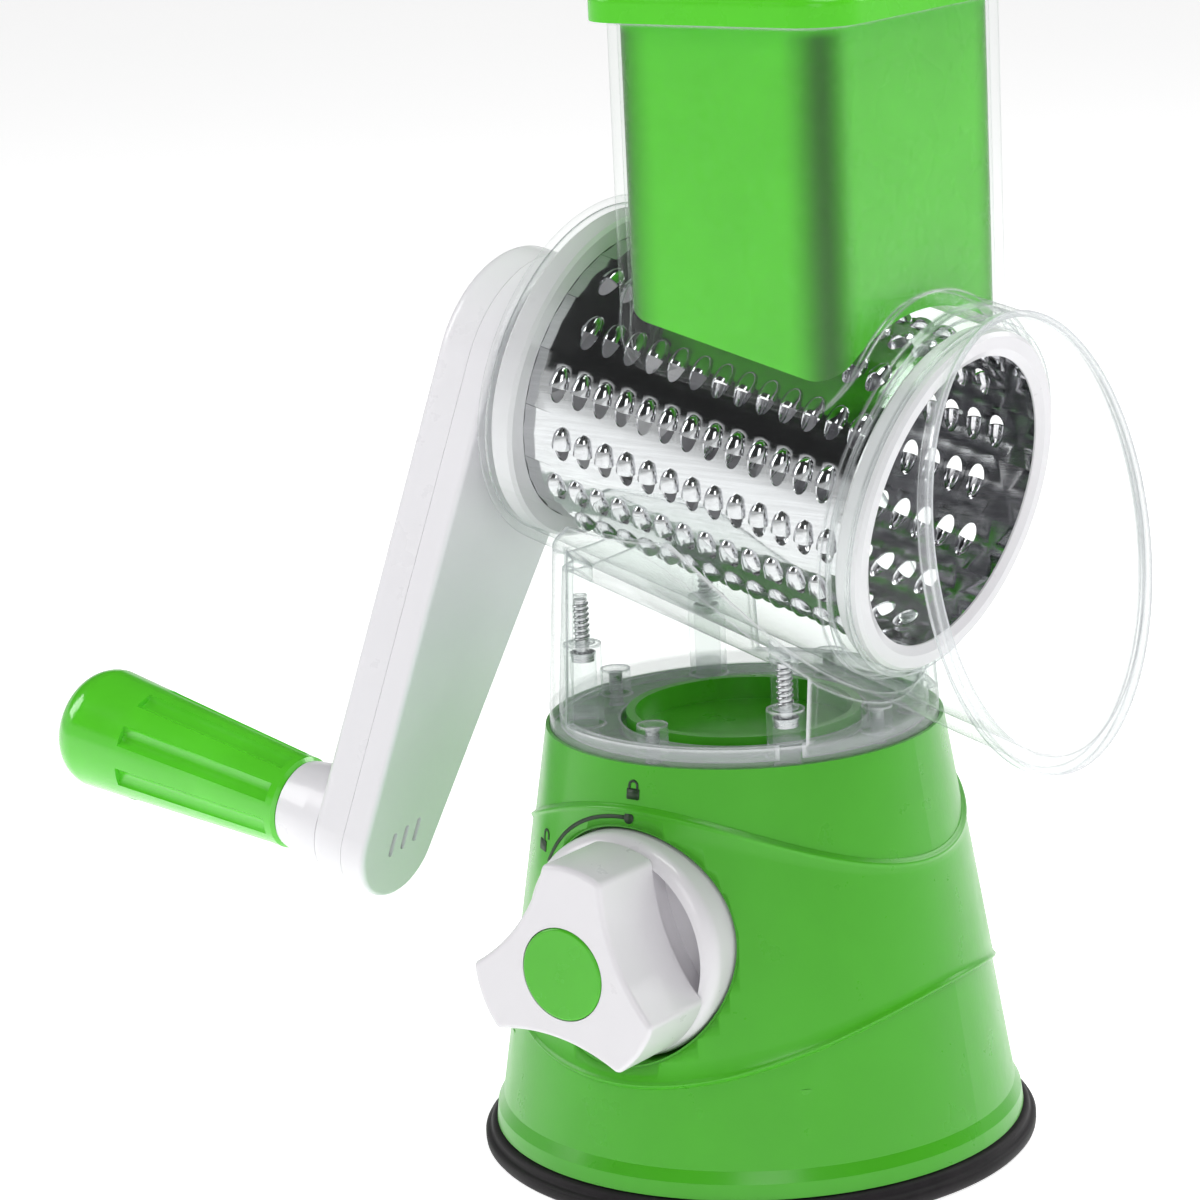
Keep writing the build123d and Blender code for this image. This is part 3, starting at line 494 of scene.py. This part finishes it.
def make_blade():
    """Tube of sheet steel. Each cell of its grid has a half-dome raised over a punched hole."""
    girth = TAU * BLADE_R
    row_arc = girth / TOOTH_ROWS
    verts, faces, index = [], [], {}

    def point(s, w, h=0.0):
        """s along the drum, w round it, h proud of the sheet."""
        key = (weld_key(s), weld_key(w % girth) % weld_key(girth), weld_key(h))
        if key not in index:
            index[key] = len(verts)
            a = -w / BLADE_R
            r = BLADE_R - SHEET + h
            verts.append(DRUM_AT + DRUM_AXIS * s + (SIDE * math.cos(a) + UP * math.sin(a)) * r)
        return index[key]

    def quad(a, b, c, d):
        ring = []
        for k in (a, b, c, d):
            if k not in ring:
                ring.append(k)
        if len(ring) > 2:
            faces.append(ring)

    side_steps = SPOKES // 4

    def border(k, s0, s1, w0, w1):
        """Point k of SPOKES round the cell's edge, from the middle of its +s side."""
        corner = k / side_steps
        side = int(corner) % 4
        f = corner - int(corner)
        sm, wm = (s0 + s1) / 2, (w0 + w1) / 2
        path = [(s1, wm), (s1, w1), (sm, w1), (s0, w1), (s0, wm), (s0, w0), (sm, w0), (s1, w0), (s1, wm)]
        a, b = path[2 * side], path[2 * side + 1]
        c = path[2 * side + 2]
        if f < 0.5:
            g = f * 2
            return a[0] + (b[0] - a[0]) * g, a[1] + (b[1] - a[1]) * g
        g = f * 2 - 1
        return b[0] + (c[0] - b[0]) * g, b[1] + (c[1] - b[1]) * g

    def cell(s0, s1, w0, w1):
        """A cell with a hole in the sheet and a hood over one half of the hole."""
        sm = (s0 + s1) / 2
        wm = (w0 + w1) / 2 - TOOTH_SHIFT
        rings = []
        for f in (0.0, 0.45, 0.8, 1.0):
            ring = []
            for k in range(SPOKES):
                a = TAU * k / SPOKES
                bs, bw = border(k, s0, s1, w0, w1)
                length = TOOTH_LENGTH if math.sin(a) >= -1e-9 else HOLE_LENGTH
                es = sm + TOOTH_HALF_WIDTH * math.cos(a)
                ew = wm + length * math.sin(a)
                ring.append(point(bs + (es - bs) * f, bw + (ew - bw) * f))
            rings.append(ring)
        for a, b in zip(rings, rings[1:]):
            for k in range(SPOKES):
                quad(a[k], a[(k + 1) % SPOKES], b[(k + 1) % SPOKES], b[k])
        # the hood: rings that shrink towards the lip over the mouth
        half = SPOKES // 2
        last = rings[-1][: half + 1]
        for j in range(1, HOOD_STEPS + 1):
            g = j / HOOD_STEPS
            ring = []
            for k in range(half + 1):
                a = TAU * k / SPOKES
                cs, sn = math.cos(a), math.sin(a)
                ds = TOOTH_HALF_WIDTH * cs
                dw = TOOTH_LENGTH * sn * (1 - g)
                flat = (ds / TOOTH_HALF_WIDTH) ** 2 + (dw / TOOTH_LENGTH) ** 2
                ring.append(point(sm + ds, wm + dw, TOOTH_HEIGHT * math.sqrt(max(0.0, 1 - flat))))
            for k in range(half):
                quad(last[k], last[k + 1], ring[k + 1], ring[k])
            last = ring

    def plain(s0, s1, w0, w1):
        """A flat cell whose edge points match its neighbours'."""
        middle = point((s0 + s1) / 2, (w0 + w1) / 2)
        ring = [point(*border(k, s0, s1, w0, w1)) for k in range(SPOKES)]
        for k in range(SPOKES):
            quad(ring[k], ring[(k + 1) % SPOKES], middle, middle)

    count = round((TEETH_TO - TEETH_FROM) / TEETH_PITCH)
    pitch = (TEETH_TO - TEETH_FROM) / count
    for row in range(TOOTH_ROWS):
        w0 = row_arc * row
        w1 = row_arc * (row + 1)
        shift = pitch / 2 if row % 2 else 0.0
        starts = [TEETH_FROM + shift + pitch * k for k in range(count)]
        for s in starts:
            cell(s, s + pitch, w0, w1)
        plain(BLADE_FROM, starts[0], w0, w1)
        plain(starts[-1] + pitch, BLADE_TO, w0, w1)
    obj = piece("blade_teeth", verts, faces, blade_steel)
    tidy_normals(obj)
    wall = obj.modifiers.new("wall", "SOLIDIFY")
    wall.thickness = SHEET
    wall.offset = 1.0
    bake(obj)
    obj.data.set_sharp_from_angle(angle=SHARP_ANGLE)
    return obj


blade = make_blade()
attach(blade, "drum")
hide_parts("drum_blade")

# ---- raised band round the base ------------------------------------------------------

CONE_TOP = (44.2 * MM, 97.0 * MM)
CONE_FOOT = (57.9 * MM, 11.5 * MM)
BAND_HIGH = (79.2 * MM, 8.1 * MM, math.radians(-88))
BAND_LOW = (36.3 * MM, -7.7 * MM, math.radians(-90))
BAND_RISE = 0.4 * MM
CREASE_RISE = 0.95 * MM
CREASE_WIDTH = 2.2 * MM
BAND_ROOT = -0.6 * MM
POCKET_R = 26.1 * MM
POCKET_SPAN = (-20 * MM, -90 * MM)
POCKET_STEPS = 96
BAND_STEPS = 288


def cone_r(z):
    """Radius of the base's outside at height z."""
    f = (z - CONE_FOOT[1]) / (CONE_TOP[1] - CONE_FOOT[1])
    return CONE_FOOT[0] + (CONE_TOP[0] - CONE_FOOT[0]) * f


def wave(line, angle):
    """Height of a wavy line: its middle, its swing and where it crests, twice round the base."""
    middle, swing, crest = line
    return middle + swing * math.cos(2 * (angle - crest))


def knob_room():
    """The cylinder of space that the knob takes at the front of the base."""
    verts, faces = [], []
    for y in POCKET_SPAN:
        for k in range(POCKET_STEPS):
            a = TAU * k / POCKET_STEPS
            verts.append((KNOB_AT.x + POCKET_R * math.cos(a), y, KNOB_AT.z + POCKET_R * math.sin(a)))
    for k in range(POCKET_STEPS):
        m = (k + 1) % POCKET_STEPS
        faces.append((k, m, POCKET_STEPS + m, POCKET_STEPS + k))
    faces.append(tuple(range(POCKET_STEPS)))
    faces.append(tuple(range(POCKET_STEPS, 2 * POCKET_STEPS)))
    room = piece("cutter", verts, faces, shaded_base_green)
    tidy_normals(room)
    return room


def make_band():
    """The zone between the two wavy lines stands a little proud and has a crease along each edge."""
    section = []
    crease = [(-1.0, 0.0), (-0.75, 0.16), (-0.5, 0.5), (-0.25, 0.86), (0.0, 1.0), (0.25, 0.88), (0.5, 0.68)]
    for at, rise in crease:
        section.append(("low", at * CREASE_WIDTH / 2, CREASE_RISE * rise))
    section.append(("low", CREASE_WIDTH * 0.5, BAND_RISE))
    for k in range(1, 12):
        section.append((k / 12, 0.0, BAND_RISE))
    section.append(("high", -CREASE_WIDTH * 0.5, BAND_RISE))
    for at, rise in reversed(crease):
        section.append(("high", -at * CREASE_WIDTH / 2, CREASE_RISE * rise))
    section.append(("high", CREASE_WIDTH / 2, BAND_ROOT))
    section.append((0.5, 0.0, BAND_ROOT))
    section.append(("low", -CREASE_WIDTH / 2, BAND_ROOT))
    verts, faces = [], []
    for i in range(BAND_STEPS):
        a = TAU * i / BAND_STEPS
        low, high = wave(BAND_LOW, a), wave(BAND_HIGH, a)
        for where, shift, rise in section:
            if where == "low":
                z = low + shift
            elif where == "high":
                z = high + shift
            else:
                z = low + (high - low) * where + shift
            r = cone_r(z) + rise
            verts.append((r * math.cos(a), r * math.sin(a), z))
    count = len(section)
    for i in range(BAND_STEPS):
        j = (i + 1) % BAND_STEPS
        for k in range(count):
            m = (k + 1) % count
            faces.append((i * count + k, j * count + k, j * count + m, i * count + m))
    band = piece("base_band", verts, faces, shaded_base_green)
    tidy_normals(band)
    cutter = knob_room()
    cut = band.modifiers.new("cut", "BOOLEAN")
    cut.operation = "DIFFERENCE"
    cut.solver = "EXACT"
    cut.object = cutter
    bake(band)
    bpy.data.objects.remove(cutter, do_unlink=True)
    return band


band = make_band()
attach(band, "base")

# ---- marks beside the knob ------------------------------------------------------------

INK = 0.12 * MM
ARROW_R = 27.9 * MM
DOT_ANGLE = math.radians(88)


def on_cone(x, z, proud):
    """Point on the front of the base at x and z, so far proud of the cone."""
    r = cone_r(z) + proud
    return Vector((x, -math.sqrt(max(r * r - x * x, 0)), z))


def ribbons(name, strips, proud):
    """Printed strips laid on the cone. Each strip is a path of (x, z, half width) in metres."""
    verts, faces = [], []
    for path in strips:
        first = len(verts)
        for k, (x, z, half) in enumerate(path):
            a = path[max(k - 1, 0)]
            b = path[min(k + 1, len(path) - 1)]
            dx, dz = b[0] - a[0], b[1] - a[1]
            length = math.hypot(dx, dz) or 1.0
            for s in (-1, 1):
                verts.append(on_cone(x - s * half * dz / length, z + s * half * dx / length, proud))
        for k in range(len(path) - 1):
            i = first + 2 * k
            faces.append((i, i + 1, i + 3, i + 2))
    obj = piece(name, verts, faces, ink)
    wall = obj.modifiers.new("wall", "SOLIDIFY")
    wall.thickness = INK
    wall.offset = 0.0
    bake(obj)
    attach(obj, "base")


def arc(cx, cz, r, start, end, half, steps):
    """Part of a circle as a path; the angles are in degrees."""
    out = []
    for k in range(steps + 1):
        a = math.radians(start + (end - start) * k / steps)
        out.append((cx + r * math.cos(a), cz + r * math.sin(a), half))
    return out


def disc(cx, cz, r, steps=14):
    """A filled disc as one strip that widens and narrows."""
    out = []
    for k in range(steps + 1):
        a = math.pi * k / steps
        out.append((cx - r * math.cos(a), cz, max(r * math.sin(a), 0.01 * MM)))
    return out


def padlock(cx, cz, open_by):
    """Body and shackle of a small padlock; open_by lifts and shifts the shackle."""
    corners = ((-1.6, 1.0), (-1.4, 1.2), (1.4, 1.2), (1.6, 1.0))
    body = [(cx + x * MM, cz - 0.9 * MM, h * MM) for x, h in corners]
    wire, bow = 0.28 * MM, 1.0 * MM
    lift = open_by * 0.9 * MM
    middle = cx + open_by * 1.5 * MM
    shackle = [(middle - bow, cz + 0.2 * MM, wire)]
    shackle += arc(middle, cz + 0.9 * MM + lift, bow, 180, 0, wire, 12)
    end = cz + (0.9 * MM if open_by else 0.2 * MM)
    shackle.append((middle + bow, end, wire))
    return [body, shackle]


on_band = BAND_RISE + INK / 2
ribbons("mark_arrow", [arc(KNOB_AT.x, KNOB_AT.z, ARROW_R, 152, 90, 0.42 * MM, 40)], on_band)
dot_x = KNOB_AT.x + ARROW_R * math.cos(DOT_ANGLE)
dot_z = KNOB_AT.z + ARROW_R * math.sin(DOT_ANGLE)
ribbons("mark_dot", [disc(dot_x, dot_z, 1.25 * MM)], on_band + 0.02 * MM)
ribbons("mark_closed", padlock(1.5 * MM, 91.6 * MM, 0), INK / 2)
ribbons("mark_open", padlock(-27.6 * MM, 74.6 * MM, 1), on_band)

# ---- suction pad -------------------------------------------------------------------------

PAD_STEPS = 160
# outline of (radius, height) in millimetres, from the middle of the underside to the middle of the top
PAD_OUTLINE = [
    (0, 0), (20, 0), (40, 0), (52, 0), (58, 0), (61.0, 0), (61.9, 0.3), (62.4, 0.9), (62.5, 1.6),
    (62.5, 2.6), (62.2, 3.1), (61.6, 3.4), (61.2, 3.6), (61.1, 4.3), (60.8, 4.9), (60.2, 5.2),
    (59.4, 5.3), (57, 5.3), (54.8, 5.3), (54.3, 5.1), (53.6, 3.4), (52.8, 2.7), (51, 2.6),
    (40, 2.6), (28, 2.6), (14, 2.6), (11.4, 2.9), (10.0, 3.8), (9.5, 5.0), (9.5, 7.5), (9.5, 10.5),
    (9.5, 13.6), (9.1, 14.0), (3.0, 14.0), (2.7, 13.7), (2.7, 10), (2.7, 7.2), (7.2, 7.2),
    (7.2, 4.8), (0, 4.8),
]


def make_pad():
    """Solid of revolution about the base's upright axis."""
    verts, faces = [], []
    count = len(PAD_OUTLINE)
    for i in range(PAD_STEPS):
        a = TAU * i / PAD_STEPS
        for r, z in PAD_OUTLINE:
            verts.append((r * MM * math.cos(a), r * MM * math.sin(a), z * MM))
    for i in range(PAD_STEPS):
        j = (i + 1) % PAD_STEPS
        for k in range(count - 1):
            faces.append((i * count + k, j * count + k, j * count + k + 1, i * count + k + 1))
    obj = piece("pad_skin", verts, faces, pad_rubber)
    tidy_normals(obj)
    return obj


pad = make_pad()
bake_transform(pad)
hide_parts("suction_pad")

# ---- return spring and screw threads ---------------------------------------------------------


def helix_bar(verts, faces, at, axis_r, section, turns, low, high, steps, lead_in=0.0):
    """A bar of the given (radial, upward) section wound round an upright axis.
    lead_in is the share of its length over which each end grows to its full size."""
    count = len(section)
    first = len(verts)
    total = int(steps * turns)
    for i in range(total + 1):
        f = i / total
        a = TAU * turns * f
        size = min(1.0, f / lead_in, (1 - f) / lead_in) if lead_in else 1.0
        z = low + (high - low) * f
        for dr, dz in section:
            r = axis_r + dr * max(size, 0.05)
            verts.append((at[0] + r * math.cos(a), at[1] + r * math.sin(a), z + dz * max(size, 0.05)))
    for i in range(total):
        for k in range(count):
            m = (k + 1) % count
            a, b = first + i * count, first + (i + 1) * count
            faces.append((a + k, b + k, b + m, a + m))
    faces.append(tuple(first + k for k in range(count)))
    faces.append(tuple(first + total * count + k for k in range(count)))


SPRING_TURNS = 3.5
WIRE_R = 0.7 * MM
WIRE_SIDES = 10


def make_spring():
    lo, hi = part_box("return_spring")
    corners = [TAU * k / WIRE_SIDES for k in range(WIRE_SIDES)]
    ring = [(WIRE_R * math.cos(a), WIRE_R * math.sin(a)) for a in corners]
    verts, faces = [], []
    helix_bar(verts, faces, (0, 0), hi[0] - WIRE_R, ring, SPRING_TURNS, lo[2] + WIRE_R, hi[2] - WIRE_R, 40)
    spring = piece("spring_wire", verts, faces, screw_steel)
    tidy_normals(spring)
    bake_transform(spring)
    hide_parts("return_spring")


make_spring()

THREAD = ((0.0, -0.42 * MM), (0.42 * MM, -0.04 * MM), (0.42 * MM, 0.04 * MM), (0.0, 0.42 * MM))
THREAD_PITCH = 1.25 * MM
THREAD_FROM = 2.2 * MM
THREAD_TO = 11.6 * MM
THREAD_ROOT_R = 1.45 * MM
HOUSING_SCREWS = ((-26, -24, 114), (-26, 24, 114), (28, -25, 106), (28, 25, 106))


def make_threads():
    """Threads on the barrel's screws. z is the face that a head bears on; its shank runs up from it."""
    turns = (THREAD_TO - THREAD_FROM) / THREAD_PITCH
    verts, faces = [], []
    for x, y, z in HOUSING_SCREWS:
        low, high = z * MM + THREAD_FROM, z * MM + THREAD_TO
        helix_bar(verts, faces, (x * MM, y * MM), THREAD_ROOT_R, THREAD, turns, low, high, 20, 0.06)
    obj = piece("housing_threads", verts, faces, screw_steel)
    tidy_normals(obj)
    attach(obj, "base")


make_threads()

# ---- stage and light ---------------------------------------------------------------

FLOOR_REACH = 14.0
FLOOR_Z = -0.2 * MM
FLOOR_STEPS = 64
FLOOR_GLOW = 0.82
# brightness of the sky by the sine of its height above the horizon
SKY = [(0.0, 0.66), (0.22, 0.66), (0.3, 0.015), (1.0, 0.03)]


def make_stage():
    """A pale floor, bright enough to fade into the pale horizon."""
    verts = [(0, 0, FLOOR_Z)]
    for k in range(FLOOR_STEPS):
        a = TAU * k / FLOOR_STEPS
        verts.append((FLOOR_REACH * math.cos(a), FLOOR_REACH * math.sin(a), FLOOR_Z))
    faces = [(0, 1 + k, 1 + (k + 1) % FLOOR_STEPS) for k in range(FLOOR_STEPS)]
    m = Nodes("floor_paint")
    m.link(
        m.ramp(m.noise(3.0, 4.0), [(0.3, (0.80, 0.80, 0.80)), (0.7, (0.83, 0.83, 0.83))]),
        m.shader.inputs["Base Color"],
    )
    m.set(Roughness=0.6, Emission_Color=(1, 1, 1, 1), Emission_Strength=FLOOR_GLOW)
    floor = piece("floor", verts, faces, m.material)


def area_light(name, at, target, size, power):
    data = bpy.data.lights.new(name, "AREA")
    data.shape = "RECTANGLE"
    data.size, data.size_y = size
    data.energy = power
    lamp = bpy.data.objects.new(name, data)
    bpy.context.scene.collection.objects.link(lamp)
    lamp.location = at
    toward = Vector(target) - Vector(at)
    lamp.rotation_euler = toward.to_track_quat("-Z", "Y").to_euler()


def make_light():
    """Bright all round near the horizon and dim overhead, with soft boxes at the sides, back and top."""
    world = bpy.data.worlds.new("studio")
    bpy.context.scene.world = world
    world.use_nodes = True
    tree = world.node_tree
    background = tree.nodes["Background"]
    coords = tree.nodes.new("ShaderNodeTexCoord")
    split = tree.nodes.new("ShaderNodeSeparateXYZ")
    ramp = tree.nodes.new("ShaderNodeValToRGB")
    tree.links.new(coords.outputs["Generated"], split.inputs[0])
    tree.links.new(split.outputs["Z"], ramp.inputs[0])
    stops = ramp.color_ramp.elements
    for at, level in SKY[1:-1]:
        stops.new(at).color = (level, level, level, 1)
    stops[0].color = (SKY[0][1],) * 3 + (1,)
    stops[-1].color = (SKY[-1][1],) * 3 + (1,)
    tree.links.new(ramp.outputs[0], background.inputs[0])
    area_light("key", (0.8, -1.05, 0.85), (0, 0, 0.12), (0.6, 0.7), 4.8)
    area_light("left", (-1.2, -0.6, 0.9), (0, 0, 0.12), (0.6, 0.8), 8.0)
    area_light("back", (0.5, 1.15, 0.7), (0, 0, 0.15), (0.7, 0.5), 5.0)
    area_light("top", (0.3, 0.1, 1.3), (0, 0, 0.1), (0.6, 0.6), 8.5)


make_stage()
make_light()
bpy.context.scene.view_settings.view_transform = "Standard"
# the view crosses many clear walls
bpy.context.scene.cycles.transparent_max_bounces = 40
